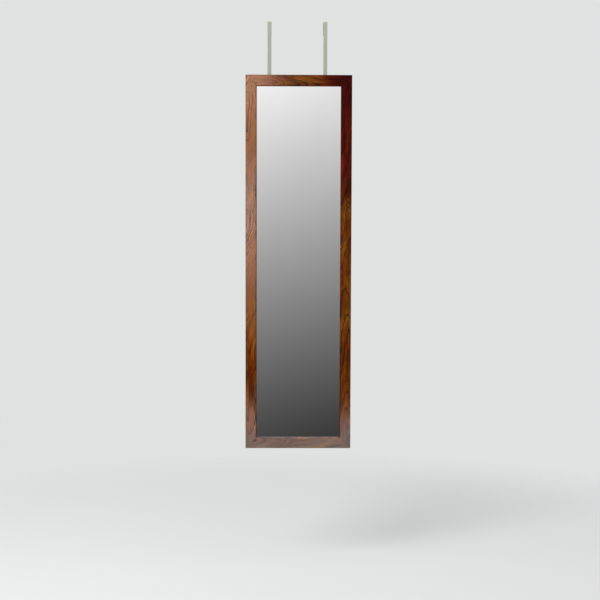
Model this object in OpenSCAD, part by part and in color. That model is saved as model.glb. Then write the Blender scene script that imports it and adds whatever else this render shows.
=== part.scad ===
// Full length hanging mirror: mirror glass in a mitred walnut frame, hung from two
// adjustable steel hooks that bend over the edge they sit on.
//
// The part's own frame: X runs to the right as one looks into the mirror, Y runs
// away from the viewer and Z is up. The origin lies where the plane under the hooks'
// top pads meets the plane of the bumpers' flat faces, above the frame's middle.

/* [Frame] */
// Overall width of the frame
frame_w = 381; // [320:1:600]
// Overall height of the frame
frame_h = 1346; // [900:1:1800]
// Face width of each rail
rail_w = 40; // [36:1:60]
// Radius of the outer front edge of the rails
edge_r = 2; // [1:0.5:5]
// Radius of the outer back edge of the rails
back_r = 1; // [0.5:0.5:3]
// Width of the bevel along the sight edge, next to the glass
sight_w = 3; // [1:0.5:6]
// Depth of the bevel along the sight edge
sight_d = 4; // [1:0.5:6]
// Depth from the frame's front face to the glass
lip_t = 9; // [7:0.5:14]
// Width of the rebate that holds the glass and the back
rebate_w = 7; // [5:0.5:10]

/* [Mirror and back] */
// Thickness of the mirror glass
glass_t = 3; // [2:0.5:6]
// Thickness of the card packing behind the glass
card_t = 2; // [1:0.5:4]
// Thickness of the backing board
board_t = 3; // [2:0.5:6]
// Gap between the sheets and the rebate's side walls
sheet_gap = 1; // [0.5:0.25:2]
// Depth left open between the retainer points and the frame's back face
back_recess = 2.4; // [1:0.2:6]

/* [Retainer points] */
// Width of a retainer point
point_w = 6; // [4:0.5:10]
// Length of a point that lies over the backing board
point_reach = 8; // [5:0.5:12]
// Length of a point that is driven into the rail
point_bite = 5; // [4:0.5:6.5]
// Thickness of a retainer point
point_t = 0.6; // [0.4:0.1:1.2]
// Number of points along each stile
points_high = 8; // [4:1:10]
// Number of points along each cross rail
points_wide = 2; // [2:1:4]

/* [Corner nails] */
// Leg length of a V nail
nail_leg = 5; // [3:0.5:6]
// Thickness of a V nail's steel
nail_t = 0.6; // [0.4:0.1:1]
// Depth that a V nail is driven in from the back
nail_h = 10; // [6:0.5:12]
// Distance of the first V nail from the outer faces
nail_first = 7; // [4:0.5:9]
// Distance from the first V nail to the second
nail_pitch = 12; // [9:0.5:14]

/* [Hooks] */
// Thickness that the hooks fit over
door_t = 35; // [30:0.5:50]
// Drop from the plane under the hooks' top pads to the frame's top edge
hook_drop = 188; // [100:1:300]
// Distance between the two hooks' middles
hook_spacing = 200; // [160:1:220]
// Sideways offset of the pair of hooks from the frame's middle
hook_shift = -5.5; // [-20:0.5:20]
// Width of the steel strap
strap_w = 14; // [12:0.5:20]
// Thickness of the steel strap
strap_t = 1.5; // [1:0.1:3]
// Inner radius of the strap's two bends at the top
bend_r = 2; // [1:0.5:4]
// Length of the rear leg above its flared tip
rear_leg = 32; // [20:1:60]
// Inner radius of the bend above the flared tip
flare_r = 4; // [2:0.5:8]
// Outward slope of the flared tip, in degrees
flare_angle = 20; // [5:1:35]
// Length of the flared tip
flare_len = 8; // [4:0.5:15]
// Corner radius at the end of the flared tip
tip_corner = 3; // [1:0.5:4]
// Height adjustment that each strap's slot gives
travel = 60; // [20:1:120]
// Steel left below the slot
slot_margin = 8; // [6:0.5:15]

/* [Fasteners] */
// Diameter of the hook screws
screw_d = 4; // [3:0.5:5]
// Length of the hook screws under the head
screw_len = 14; // [12.5:0.5:16]
// Diameter of the screw heads
head_d = 8; // [7:0.5:10]
// Height of the screw heads
head_h = 2.2; // [1.6:0.1:3.5]
// Outer diameter of the washers
washer_d = 9.5; // [8.5:0.5:11.5]
// Thickness of the washers
washer_t = 0.8; // [0.5:0.1:1.6]
// Outer diameter of the threaded inserts
insert_d = 6; // [5.5:0.5:8]
// Length of the threaded inserts
insert_len = 10; // [6:0.5:11]
// Distance from the frame's top edge to the upper screw
screw_inset = 8; // [7:0.5:10]
// Distance between the two screws of a hook
screw_gap = 13; // [12:0.5:16]
// Radial clearance of a screw in its washer, in the slot and beyond its insert
screw_clear = 0.25; // [0.15:0.05:0.5]
// Gap between a screw and the slot's end at each end of the travel
stop_gap = 0.3; // [0.2:0.1:1]
// Depth left open beyond a screw's tip
tip_clear = 1; // [0.5:0.5:3]

/* [Pads] */
// Thickness of the foam pads inside the hooks
pad_t = 1.5; // [0.5:0.1:3]
// Distance that a foam pad stops short of the strap's bends
pad_inset = 1.5; // [0.5:0.5:4]
// Distance that a foam pad stops short of the strap's sides
pad_side = 0.5; // [0:0.5:2]
// Corner radius of the foam pads
pad_corner = 2; // [0.5:0.5:4]
// Diameter of the bumpers on the frame's back
bumper_d = 20; // [12:1:26]
// Radius of the rounded rim of the bumpers
bumper_rim = 1.2; // [0.5:0.1:2.5]
// Distance of the bumpers from the frame's top and bottom edges
bumper_inset = 45; // [40:1:120]
// Depth by which the bumpers stand out beyond the screw heads
door_clear = 0.5; // [0.3:0.1:3]

/* [Hidden] */
$fn = 48;
// How far a cutting tool runs past the face that it opens
over = 1;
// Length of the cross recess, as a share of the screw head's diameter
recess_span = 0.55;
// Width of the cross recess, as a share of its length
recess_slot = 0.2;
// Number of flats in the bend above the flared tip
flare_steps = 4;

// Depths along Y, from the viewer's side to the back
rail_t = lip_t + glass_t + card_t + board_t + point_t + back_recess;
bumper_t = strap_t + washer_t + head_h + door_clear;
y_back = -bumper_t;
y_front = y_back - rail_t;
y_glass = y_front + lip_t;
y_card = y_glass + glass_t;
y_board = y_card + card_t;
y_point = y_board + board_t;
y_washer = y_back + strap_t;
y_head = y_washer + washer_t;
y_rear = door_t + pad_t;
y_bend_front = y_back + strap_t + bend_r;
y_bend_rear = y_rear - bend_r;

// Heights
z_top = -hook_drop;
z_bottom = z_top - frame_h;
z_middle = (z_top + z_bottom) / 2;
z_screw_1 = z_top - screw_inset;
z_screw_2 = z_screw_1 - screw_gap;
z_slot_top = z_screw_1 + screw_d / 2 + stop_gap;
z_slot_low = z_screw_2 - screw_d / 2 - stop_gap - travel;
z_strap_low = z_slot_low - slot_margin;
z_bend = pad_t - bend_r;

// Widths
wood_w = rail_w - rebate_w;
pocket_w = frame_w - 2 * wood_w;
sheet_w = pocket_w - 2 * sheet_gap;
sheet_h = frame_h - 2 * wood_w - 2 * sheet_gap;
slot_w = screw_d + 2 * screw_clear;
pad_w = strap_w - 2 * pad_side;
left_x = hook_shift - hook_spacing / 2;
right_x = hook_shift + hook_spacing / 2;

walnut = [0.42, 0.22, 0.09];
silver = [0.78, 0.80, 0.81];
card_brown = [0.72, 0.58, 0.42];
board_brown = [0.45, 0.33, 0.22];
steel_grey = [0.70, 0.71, 0.68];
strap_grey = [0.68, 0.70, 0.64];
brass_yellow = [0.78, 0.65, 0.36];
foam_grey = [0.35, 0.36, 0.36];
bumper_grey = [0.20, 0.20, 0.21];

// ---------- shared forms ----------

// Section of a rail: X runs in from the outer face, Y back from the front face
module rail_section() {
  polygon([
    [0, edge_r], [edge_r, 0], [rail_w - sight_w, 0], [rail_w, sight_d],
    [rail_w, lip_t], [wood_w, lip_t], [wood_w, rail_t],
    [back_r, rail_t], [0, rail_t - back_r]
  ]);
  translate([edge_r, edge_r]) circle(edge_r);
  translate([back_r, rail_t - back_r]) circle(back_r);
}

// Extrudes a shape drawn in the X-Z plane along Y, from y to y + depth
module plate(y, depth) {
  translate([0, y + depth, 0])
    rotate([90, 0, 0])
      linear_extrude(depth) children();
}

// A cylinder along Y, from y to y + length
module along_y(y, length, d) {
  translate([0, y, 0])
    rotate([-90, 0, 0]) cylinder(h = length, d = d);
}

// Rectangle with rounded corners, centred on the origin
module rounded_rectangle(w, h, r) {
  square([w - 2 * r, h], center = true);
  square([w, h - 2 * r], center = true);
  for (sx = [-1, 1], sy = [-1, 1])
    translate([sx * (w / 2 - r), sy * (h / 2 - r)]) circle(r);
}

// Strip that hangs down from the origin, with its two lower corners rounded
module rounded_tongue(w, length, r) {
  translate([-w / 2, r - length]) square([w, length - r]);
  translate([r - w / 2, -length]) square([w - 2 * r, r]);
  for (side = [-1, 1])
    translate([side * (w / 2 - r), r - length]) circle(r);
}

// Disc whose far rim is rounded, standing on the X-Z plane and pointing along +Y
module rounded_disc(d, h, r) {
  rotate([-90, 0, 0])
    rotate_extrude() {
      square([d / 2 - r, h]);
      square([d / 2, h - r]);
      translate([d / 2 - r, h - r])
        intersection() {
          circle(r);
          square(r);
        }
    }
}

// Mirrors its children in the frame's horizontal middle plane
module upside_down() {
  translate([0, 0, z_middle])
    mirror([0, 0, 1])
      translate([0, 0, -z_middle]) children();
}

// Repeats what is drawn for the top right corner at all four corners
module at_corners() {
  for (flip_x = [0, 1])
    mirror([flip_x, 0, 0]) {
      children();
      upside_down() children();
    }
}

// ---------- fasteners of the frame ----------

// V nails of the top right corner; run lets them pass the back face as cutters
module nail_pair(run = 0) {
  for (i = [0, 1]) {
    inset = nail_first + i * nail_pitch;
    plate(y_back - nail_h, nail_h + run)
      translate([frame_w / 2 - inset, z_top - inset])
        polygon([
          [0, 0], [-nail_leg, 0], [-nail_leg, -nail_t],
          [-nail_t, -nail_t], [-nail_t, -nail_leg], [0, -nail_leg]
        ]);
  }
}

// One retainer point at the origin, driven along -X into a wall and reaching along +X
module retainer_point() {
  shoulder = point_w / 2;
  polygon([
    [-point_bite, 0], [shoulder - point_bite, -shoulder], [point_reach, -shoulder],
    [point_reach, shoulder], [shoulder - point_bite, shoulder]
  ]);
}

// Points along the left stile
module stile_points() {
  pitch = (frame_h - 2 * rail_w) / points_high;
  plate(y_point, point_t)
    for (i = [0 : points_high - 1])
      translate([wood_w - frame_w / 2, z_bottom + rail_w + (i + 0.5) * pitch])
        retainer_point();
}

// Points along the top rail
module rail_points() {
  pitch = (frame_w - 2 * rail_w) / points_wide;
  plate(y_point, point_t)
    for (i = [0 : points_wide - 1])
      translate([rail_w - frame_w / 2 + (i + 0.5) * pitch, z_top - wood_w])
        rotate(-90) retainer_point();
}

// ---------- frame ----------

// A stile before its pockets are cut, on the left, mitred at both ends
module stile_blank() {
  reach = rail_w + over;
  intersection() {
    translate([-frame_w / 2, y_front, z_bottom])
      linear_extrude(frame_h) rail_section();
    plate(y_front - over, rail_t + 2 * over)
      polygon([
        [-frame_w / 2, z_bottom], [reach - frame_w / 2, z_bottom + reach],
        [reach - frame_w / 2, z_top - reach], [-frame_w / 2, z_top]
      ]);
  }
}

// A cross rail before its pockets are cut, at the top, mitred at both ends
module rail_blank() {
  reach = rail_w + over;
  intersection() {
    translate([-frame_w / 2, y_front, z_top])
      rotate([0, 90, 0])
        linear_extrude(frame_w) rail_section();
    plate(y_front - over, rail_t + 2 * over)
      polygon([
        [-frame_w / 2, z_top], [frame_w / 2, z_top],
        [frame_w / 2 - reach, z_top - reach], [reach - frame_w / 2, z_top - reach]
      ]);
  }
}

module left_stile() {
  color(walnut)
    difference() {
      stile_blank();
      stile_points();
      at_corners() nail_pair(over);
    }
}

module right_stile() {
  mirror([1, 0, 0]) left_stile();
}

module top_rail() {
  color(walnut)
    difference() {
      rail_blank();
      rail_points();
      at_corners() nail_pair(over);
      for (x = [left_x, right_x]) insert_holes(x);
    }
}

module bottom_rail() {
  color(walnut)
    difference() {
      upside_down() rail_blank();
      upside_down() rail_points();
      at_corners() nail_pair(over);
    }
}

module corner_v_nails() {
  color(steel_grey) at_corners() nail_pair();
}

// ---------- mirror and back ----------

// A sheet that stands on the bottom of the rebate
module sheet(y, thickness) {
  translate([-sheet_w / 2, y, z_bottom + wood_w])
    cube([sheet_w, thickness, sheet_h]);
}

module mirror_glass() {
  color(silver) sheet(y_glass, glass_t);
}

module card_packing() {
  color(card_brown) sheet(y_card, card_t);
}

module backing_board() {
  color(board_brown) sheet(y_board, board_t);
}

module retainer_points() {
  color(steel_grey) {
    stile_points();
    mirror([1, 0, 0]) stile_points();
    rail_points();
    upside_down() rail_points();
  }
}

// ---------- hooks ----------

// A quarter bend of the strap above the height z_bend and round the line at y; side is
// -1 for the front bend and 1 for the rear one
module strap_bend(y, side) {
  outer = bend_r + strap_t;
  translate([0, y, z_bend])
    rotate([0, 90, 0])
      linear_extrude(strap_w, center = true)
        intersection() {
          difference() {
            circle(outer);
            circle(bend_r);
          }
          translate([-outer, (side - 1) * outer / 2]) square(outer);
        }
}

// Points round the bend above the flared tip, at the radius r, from the leg to the tip
function flare_arc(r) = [
  for (i = [0 : flare_steps])
    let (turn = flare_angle * i / flare_steps) [-r * cos(turn), -r * sin(turn)]
];

// Side view of the rear leg, drawn round the middle of its bend. The tip runs on by over.
module rear_leg_section() {
  door_side = flare_arc(flare_r + strap_t);
  far_side = flare_arc(flare_r);
  tip = (flare_len + over) * [sin(flare_angle), -cos(flare_angle)];
  polygon(concat(
    [[-flare_r - strap_t, rear_leg]], door_side,
    [door_side[flare_steps] + tip, far_side[flare_steps] + tip],
    [for (i = [flare_steps : -1 : 0]) far_side[i]], [[-flare_r, rear_leg]]
  ));
}

// The rear leg, whose tip turns outwards so that the hook slips on easily
module rear_leg_strip() {
  outer = flare_r + strap_t;
  translate([0, y_rear + outer, z_bend - rear_leg])
    difference() {
      rotate([90, 0, 90])
        linear_extrude(strap_w, center = true) rear_leg_section();
      rotate([flare_angle, 0, 0])
        plate(-outer - over, strap_t + 2 * over)
          difference() {
            translate([-strap_w / 2 - over, -flare_len - 2 * over])
              square([strap_w + 2 * over, tip_corner + 2 * over]);
            rounded_tongue(strap_w, flare_len, tip_corner);
          }
    }
}

// A hook whose strap is centred on x
module hook(x) {
  leg_w = strap_w / 2;
  translate([x, 0, 0])
    difference() {
      union() {
        translate([-leg_w, y_back, z_strap_low + leg_w])
          cube([strap_w, strap_t, z_bend - z_strap_low - leg_w]);
        translate([0, 0, z_strap_low + leg_w])
          along_y(y_back, strap_t, strap_w);
        strap_bend(y_bend_front, -1);
        translate([-leg_w, y_bend_front, pad_t])
          cube([strap_w, y_bend_rear - y_bend_front, strap_t]);
        strap_bend(y_bend_rear, 1);
        rear_leg_strip();
      }
      translate([-slot_w / 2, y_back - over, z_slot_low + slot_w / 2])
        cube([slot_w, strap_t + 2 * over, z_slot_top - z_slot_low - slot_w]);
      for (z = [z_slot_low + slot_w / 2, z_slot_top - slot_w / 2])
        translate([0, 0, z])
          along_y(y_back - over, strap_t + 2 * over, slot_w);
    }
}

// The foam pad under the top of the hook
module top_pad(x) {
  pad_l = y_bend_rear - y_bend_front - 2 * pad_inset;
  translate([x, (y_bend_front + y_bend_rear) / 2, 0])
    linear_extrude(pad_t)
      rounded_rectangle(pad_w, pad_l, pad_corner);
}

// The foam pad on the inner face of the rear leg
module rear_pad(x) {
  pad_h = rear_leg - 2 * pad_inset;
  plate(door_t, pad_t)
    translate([x, z_bend - rear_leg / 2])
      rounded_rectangle(pad_w, pad_h, pad_corner);
}

module left_hook() {
  color(strap_grey) hook(left_x);
}

module right_hook() {
  color(strap_grey) hook(right_x);
}

module left_hook_top_pad() {
  color(foam_grey) top_pad(left_x);
}

module right_hook_top_pad() {
  color(foam_grey) top_pad(right_x);
}

module left_hook_rear_pad() {
  color(foam_grey) rear_pad(left_x);
}

module right_hook_rear_pad() {
  color(foam_grey) rear_pad(right_x);
}

// ---------- fasteners of the hooks ----------

// Repeats its children at the two screws of the hook at x
module at_screws(x) {
  for (z = [z_screw_1, z_screw_2])
    translate([x, 0, z]) children();
}

// The holes in the top rail for the inserts and the tips of the screws
module insert_holes(x) {
  tip = screw_len - washer_t - strap_t + tip_clear;
  at_screws(x) {
    along_y(y_back - insert_len, insert_len + over, insert_d);
    along_y(y_back - tip, tip, slot_w);
  }
}

module hook_screws(x) {
  recess = head_d * recess_span;
  at_screws(x) {
    along_y(y_head - screw_len, screw_len, screw_d);
    difference() {
      translate([0, y_head, 0]) rounded_disc(head_d, head_h, head_h / 2);
      for (turn = [0, 90])
        rotate([0, turn, 0])
          translate([-recess / 2, y_head + head_h / 2, -recess * recess_slot / 2])
            cube([recess, head_h, recess * recess_slot]);
    }
  }
}

module hook_washers(x) {
  at_screws(x)
    difference() {
      along_y(y_washer, washer_t, washer_d);
      along_y(y_washer - over, washer_t + 2 * over, slot_w);
    }
}

module hook_inserts(x) {
  at_screws(x)
    difference() {
      along_y(y_back - insert_len, insert_len, insert_d);
      along_y(y_back - insert_len - over, insert_len + 2 * over, screw_d);
    }
}

module left_hook_screws() {
  color(steel_grey) hook_screws(left_x);
}

module right_hook_screws() {
  color(steel_grey) hook_screws(right_x);
}

module left_hook_washers() {
  color(steel_grey) hook_washers(left_x);
}

module right_hook_washers() {
  color(steel_grey) hook_washers(right_x);
}

module left_hook_inserts() {
  color(brass_yellow) hook_inserts(left_x);
}

module right_hook_inserts() {
  color(brass_yellow) hook_inserts(right_x);
}

// ---------- bumpers ----------

// A bumper on the back of a stile; the signs choose the side and the end
module bumper(side, end) {
  x = side * (frame_w / 2 - wood_w / 2);
  z = z_middle + end * (frame_h / 2 - bumper_inset);
  color(bumper_grey)
    translate([x, y_back, z]) rounded_disc(bumper_d, bumper_t, bumper_rim);
}

module upper_left_bumper() {
  bumper(-1, 1);
}

module upper_right_bumper() {
  bumper(1, 1);
}

module lower_left_bumper() {
  bumper(-1, -1);
}

module lower_right_bumper() {
  bumper(1, -1);
}

// ---------- the whole part ----------

top_rail();
bottom_rail();
left_stile();
right_stile();
corner_v_nails();
mirror_glass();
card_packing();
backing_board();
retainer_points();
left_hook();
left_hook_top_pad();
left_hook_rear_pad();
right_hook();
right_hook_top_pad();
right_hook_rear_pad();
left_hook_screws();
left_hook_washers();
left_hook_inserts();
right_hook_screws();
right_hook_washers();
right_hook_inserts();
upper_left_bumper();
upper_right_bumper();
lower_left_bumper();
lower_right_bumper();
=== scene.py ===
"""Looks of the full length hanging mirror: walnut foil frame, silvered glass, satin steel hooks."""

from math import cos, pi, radians, sin

import bmesh
import bpy
from mathutils import Matrix, Vector


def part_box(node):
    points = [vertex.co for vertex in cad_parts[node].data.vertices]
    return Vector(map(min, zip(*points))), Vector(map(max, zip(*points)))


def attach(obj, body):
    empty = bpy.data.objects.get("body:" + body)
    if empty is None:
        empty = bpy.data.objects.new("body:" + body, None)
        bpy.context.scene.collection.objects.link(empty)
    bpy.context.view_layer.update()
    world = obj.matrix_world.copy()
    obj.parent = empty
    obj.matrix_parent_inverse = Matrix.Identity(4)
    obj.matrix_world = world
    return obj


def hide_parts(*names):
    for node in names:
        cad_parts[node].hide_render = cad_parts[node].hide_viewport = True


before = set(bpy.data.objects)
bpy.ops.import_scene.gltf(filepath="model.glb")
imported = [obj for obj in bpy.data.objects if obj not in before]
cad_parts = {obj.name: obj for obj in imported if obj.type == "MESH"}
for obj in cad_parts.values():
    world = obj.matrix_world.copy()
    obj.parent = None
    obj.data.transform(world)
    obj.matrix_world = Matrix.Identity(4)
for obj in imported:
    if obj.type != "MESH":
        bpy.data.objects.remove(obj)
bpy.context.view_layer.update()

MM = 0.001
SIDES = ("left", "right")
CORNERS = ("upper_left", "upper_right", "lower_left", "lower_right")

# ---------- sizes read from the frame ----------

TOP_LOW, TOP_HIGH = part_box("top_rail")
BOTTOM_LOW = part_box("bottom_rail")[0]
FRAME_W = TOP_HIGH.x - TOP_LOW.x
RAIL_W = TOP_HIGH.z - TOP_LOW.z
Y_FRONT, Y_BACK = TOP_LOW.y, TOP_HIGH.y
Z_TOP, Z_BOTTOM = TOP_HIGH.z, BOTTOM_LOW.z
FRAME_H = Z_TOP - Z_BOTTOM
Z_MIDDLE = (Z_TOP + Z_BOTTOM) / 2

# ---------- camera, taken from the photograph's perspective ----------

PICTURE_PX = 600
FOCAL_PX = 1245
SENSOR = 36
CAMERA_AT = Vector((-0.0537, -4.510, -0.6942))
PITCH, YAW, ROLL = radians(-3.817), radians(-0.764), radians(-0.168)


def add_camera():
    data = bpy.data.cameras.new("photo_camera")
    data.sensor_fit = "HORIZONTAL"
    data.sensor_width = SENSOR
    data.lens = FOCAL_PX / PICTURE_PX * SENSOR
    camera = bpy.data.objects.new("photo_camera", data)
    bpy.context.scene.collection.objects.link(camera)
    aim = Matrix.Rotation(YAW, 4, "Z") @ Matrix.Rotation(PITCH, 4, "X")
    aim = aim @ Matrix.Rotation(ROLL, 4, "Y")
    level = Matrix.Rotation(pi / 2, 4, "X")
    camera.matrix_world = Matrix.Translation(CAMERA_AT) @ aim @ level
    bpy.context.scene.camera = camera


# ---------- small helpers for meshes ----------

WELD = 1e-6
CAD_WELD = 2e-6
CAD_FLAT = radians(0.4)
HARD_EDGE = radians(32)
EASED_EDGE = radians(40)


def new_object(name, mesh):
    piece = bpy.data.objects.new(name, mesh)
    bpy.context.scene.collection.objects.link(piece)
    return piece


def mesh_from(bm, name):
    """Closes a bmesh into a mesh with outward faces, smooth but for its hard edges."""
    bmesh.ops.remove_doubles(bm, verts=bm.verts, dist=WELD)
    bmesh.ops.recalc_face_normals(bm, faces=bm.faces)
    mesh = bpy.data.meshes.new(name)
    bm.to_mesh(mesh)
    bm.free()
    smooth_but_for_edges(mesh)
    return mesh


def smooth_but_for_edges(mesh):
    mesh.shade_smooth()
    mesh.set_sharp_from_angle(angle=HARD_EDGE)


def evaluated_mesh(piece):
    """A plain mesh of a piece as its live modifiers leave it."""
    bpy.context.view_layer.update()
    seen = piece.evaluated_get(bpy.context.evaluated_depsgraph_get())
    return bpy.data.meshes.new_from_object(seen)


def apply_modifiers(piece, even=True):
    """Turns a piece and its live modifiers into a plain mesh. Even shading keeps the large faces
    flat beside their eased edges. It comes once, on the finished mesh."""
    if even:
        level = piece.modifiers.new("large_faces_flat", "WEIGHTED_NORMAL")
        level.keep_sharp = True
    mesh = evaluated_mesh(piece)
    piece.modifiers.clear()
    piece.data = mesh
    return piece


def add_bevel(piece, width, segments=2, by_weight=False):
    bevel = piece.modifiers.new("eased_edges", "BEVEL")
    bevel.width = width
    bevel.segments = segments
    bevel.limit_method = "WEIGHT" if by_weight else "ANGLE"
    bevel.angle_limit = EASED_EDGE
    bevel.use_clamp_overlap = not by_weight


def whole_copy(node, name):
    """A closed copy of a CAD node's mesh whose flat faces are single faces."""
    bm = bmesh.new()
    bm.from_mesh(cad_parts[node].data)
    bmesh.ops.remove_doubles(bm, verts=bm.verts, dist=CAD_WELD)
    bmesh.ops.dissolve_limit(bm, angle_limit=CAD_FLAT, verts=bm.verts, edges=bm.edges)
    mesh = bpy.data.meshes.new(name)
    bm.to_mesh(mesh)
    bm.free()
    smooth_but_for_edges(mesh)
    return new_object(name, mesh)


def lathe(profile, name, steps=48):
    """A solid of revolution about Y from (radius, y) points that start and end on the axis
    or that close on themselves."""
    bm = bmesh.new()
    rings = []
    for i in range(steps):
        turn = 2 * pi * i / steps
        rings.append([bm.verts.new((r * cos(turn), y, r * sin(turn))) for r, y in profile])
    closed = profile[0][0] > 0
    count = len(profile) if closed else len(profile) - 1
    for i in range(steps):
        near, far = rings[i], rings[(i + 1) % steps]
        for k in range(count):
            n = (k + 1) % len(profile)
            bm.faces.new((near[k], near[n], far[n], far[k]))
    return mesh_from(bm, name)


def arc(centre, radius, start, end, steps):
    """Points of an arc in the lathe's (radius, y) plane, from start to end in degrees."""
    points = []
    for i in range(steps + 1):
        a = radians(start + (end - start) * i / steps)
        points.append((centre[0] + radius * cos(a), centre[1] + radius * sin(a)))
    return points


# ---------- small helpers for node trees ----------

# the middle part of a noise value's range, which holds nearly all of it
NOISE_LOW, NOISE_HIGH = 0.3, 0.7


class Graph:
    """Adds nodes to a tree and joins them. A socket, a number or a vector may feed any input."""

    def __init__(self, tree):
        self.tree = tree

    def add(self, kind, settings=None, inputs=None):
        node = self.tree.nodes.new(kind)
        for key, value in (settings or {}).items():
            setattr(node, key, value)
        for key, value in (inputs or {}).items():
            self.feed(node.inputs[key], value)
        return node

    def feed(self, socket, value):
        if isinstance(value, bpy.types.NodeSocket):
            self.tree.links.new(value, socket)
        else:
            socket.default_value = value

    def math(self, operation, a, b=0.0):
        return self.add("ShaderNodeMath", {"operation": operation}, {0: a, 1: b}).outputs[0]

    def plus(self, a, b):
        return self.math("ADD", a, b)

    def minus(self, a, b):
        return self.math("SUBTRACT", a, b)

    def times(self, a, b):
        return self.math("MULTIPLY", a, b)

    def span(self, value, low, high, to_low=0.0, to_high=1.0, smooth=False):
        """Maps low..high to to_low..to_high, clamped."""
        settings = {"interpolation_type": "SMOOTHSTEP" if smooth else "LINEAR", "clamp": True}
        inputs = {0: value, 1: low, 2: high, 3: to_low, 4: to_high}
        return self.add("ShaderNodeMapRange", settings, inputs).outputs[0]

    def noise(self, vector, scale, detail=2.0, roughness=0.5, distortion=0.0):
        inputs = {"Vector": vector, "Scale": scale, "Detail": detail,
                  "Roughness": roughness, "Distortion": distortion}
        return self.add("ShaderNodeTexNoise", {"noise_dimensions": "3D"}, inputs).outputs[0]

    def stretch(self, vector, scale, location=(0, 0, 0)):
        inputs = {"Vector": vector, "Location": location, "Scale": scale}
        return self.add("ShaderNodeMapping", None, inputs).outputs[0]

    def cells(self, vector, per_metre, detail=2.0, roughness=0.5, distortion=0.0, shift=(0, 0, 0)):
        """Noise with so many cells per metre along each axis."""
        place = self.stretch(vector, per_metre, shift)
        return self.noise(place, 1.0, detail, roughness, distortion)

    def mix(self, factor, a, b, blend="MIX"):
        node = self.add("ShaderNodeMix", {"data_type": "RGBA", "blend_type": blend})
        self.feed(node.inputs["Factor"], factor)
        self.feed(node.inputs[6], a)
        self.feed(node.inputs[7], b)
        return node.outputs[2]

    def dye(self, factor, colour, tint):
        """Multiplies a colour by a tint, as far as factor says."""
        return self.mix(factor, colour, self.mix(1.0, colour, tint, "MULTIPLY"))

    def ramp(self, factor, stops):
        node = self.add("ShaderNodeValToRGB", None, {0: factor})
        points = node.color_ramp.elements
        while len(points) < len(stops):
            points.new(0.5)
        for point, (place, colour) in zip(points, stops):
            point.position = place
            point.color = colour
        return node.outputs[0]

    def between(self, noise, a, b):
        """A colour that goes from a to b with a noise value."""
        return self.ramp(noise, [(NOISE_LOW, a), (NOISE_HIGH, b)])

    def vary(self, colour, noise, low, high):
        """Multiplies a colour by low to high with a noise value."""
        return self.mix(1.0, colour, self.between(noise, grey(low), grey(high)), "MULTIPLY")

    def rough(self, noise, low, high):
        """A roughness that goes from low to high with a noise value."""
        return self.span(noise, NOISE_LOW, NOISE_HIGH, low, high)

    def split(self, vector):
        return self.add("ShaderNodeSeparateXYZ", None, {0: vector}).outputs

    def join(self, x, y, z):
        return self.add("ShaderNodeCombineXYZ", None, {0: x, 1: y, 2: z}).outputs[0]

    def bump(self, height, distance, strength, normal=None):
        inputs = {"Height": height, "Distance": distance, "Strength": strength}
        if normal is not None:
            inputs["Normal"] = normal
        return self.add("ShaderNodeBump", None, inputs).outputs[0]

    def object_coords(self):
        return self.add("ShaderNodeTexCoord").outputs["Object"]


def grey(value):
    return (value, value, value, 1)


def rgb(red, green, blue):
    return (red, green, blue, 1)


def new_material(name):
    """A material with one Principled shader; returns it, its graph and the shader."""
    material = bpy.data.materials.new(name)
    material.use_nodes = True
    graph = Graph(material.node_tree)
    shader = material.node_tree.nodes["Principled BSDF"]
    return material, graph, shader


def paint(piece, material):
    piece.data.materials.clear()
    piece.data.materials.append(material)


# ---------- walnut foil ----------

# a ring's width, how steeply the arches climb along the board, and how round they are
RING_W = 7.5 * MM
FLAME_RISE = 0.17
HEART_R = 9 * MM
# how far the heart, the warp and the surge of the rings and the edge of a region wander
HEART_SWAY, WARP_SWAY, SURGE_SWAY, REGION_SWAY = 0.085, 0.018, 0.06, 0.16
# turns of the heart and of the surge in a metre
HEART_TURNS, SURGE_TURNS = 3.4, 5.5
# flames to a ring and to a metre, and the shares of flames and sheen in the tone
FLAMES_RING, FLAMES_METRE = 0.42, 7.0
FLAME_SHARE, SHEEN_SHARE = 0.62, 0.38
# shares of a ring: where it darkens, where its vein comes in and where both go out again
LATE_SPAN, VEIN_SPAN, END_SPAN = (0.42, 0.96), (0.80, 0.92), (0.96, 1.0)
VEIN_SHARE = 0.95
# how strongly rings darken, by a noise value of their own
STRENGTH_SPAN = (0.41, 0.61, 0.12, 0.88)
# how far the foil is turned over the back, the soft width of its cut edge, and how near to
# the back's plane a place counts as the back
FOIL_WRAP = 7 * MM
FOIL_EDGE = 0.2 * MM
BACK_NEAR, BACK_AT = 0.2 * MM, 0.15 * MM
LACQUER_SPECULAR = 0.05
LACQUER_ROUGH = (0.21, 0.28)
OPEN_GRAIN_ROUGH = 0.3
RAW_ROUGH = 0.85

UMBER = rgb(0.022, 0.0030, 0.0006)
VEIN = rgb(0.034, 0.0048, 0.0006)
RUSSET = rgb(0.068, 0.0095, 0.0009)
AMBER = rgb(0.140, 0.035, 0.0018)
HONEY = rgb(0.235, 0.078, 0.0095)
RED_CAST = rgb(1.16, 0.72, 0.70)
OLIVE_CAST = rgb(0.92, 1.14, 1.0)
# towards the upper right the foil turns redder and darker, darkest in the corner: partly the
# print's tone, partly painted shade
RED_TONE_AND_SHADE = rgb(0.52, 0.13, 0.45)
DARK_CORNER = rgb(0.50, 0.28, 0.50)
# towards the upper left it turns paler, palest in the corner: partly the print's tone, partly
# painted light
PALE_TONE_AND_LIGHT = rgb(1.50, 1.45, 1.9)
PALE_WASH = rgb(0.205, 0.082, 0.026)
PALE_CORNER = rgb(0.34, 0.13, 0.035)
# the foot's grey is painted sheen
GREY_WASH = rgb(0.078, 0.072, 0.045)
RAW_BOARD = rgb(0.36, 0.24, 0.13)
RAW_CHIPS = rgb(0.26, 0.16, 0.08)
FLAME_STOPS = ((0.33, RUSSET), (0.50, AMBER), (0.66, HONEY))
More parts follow.
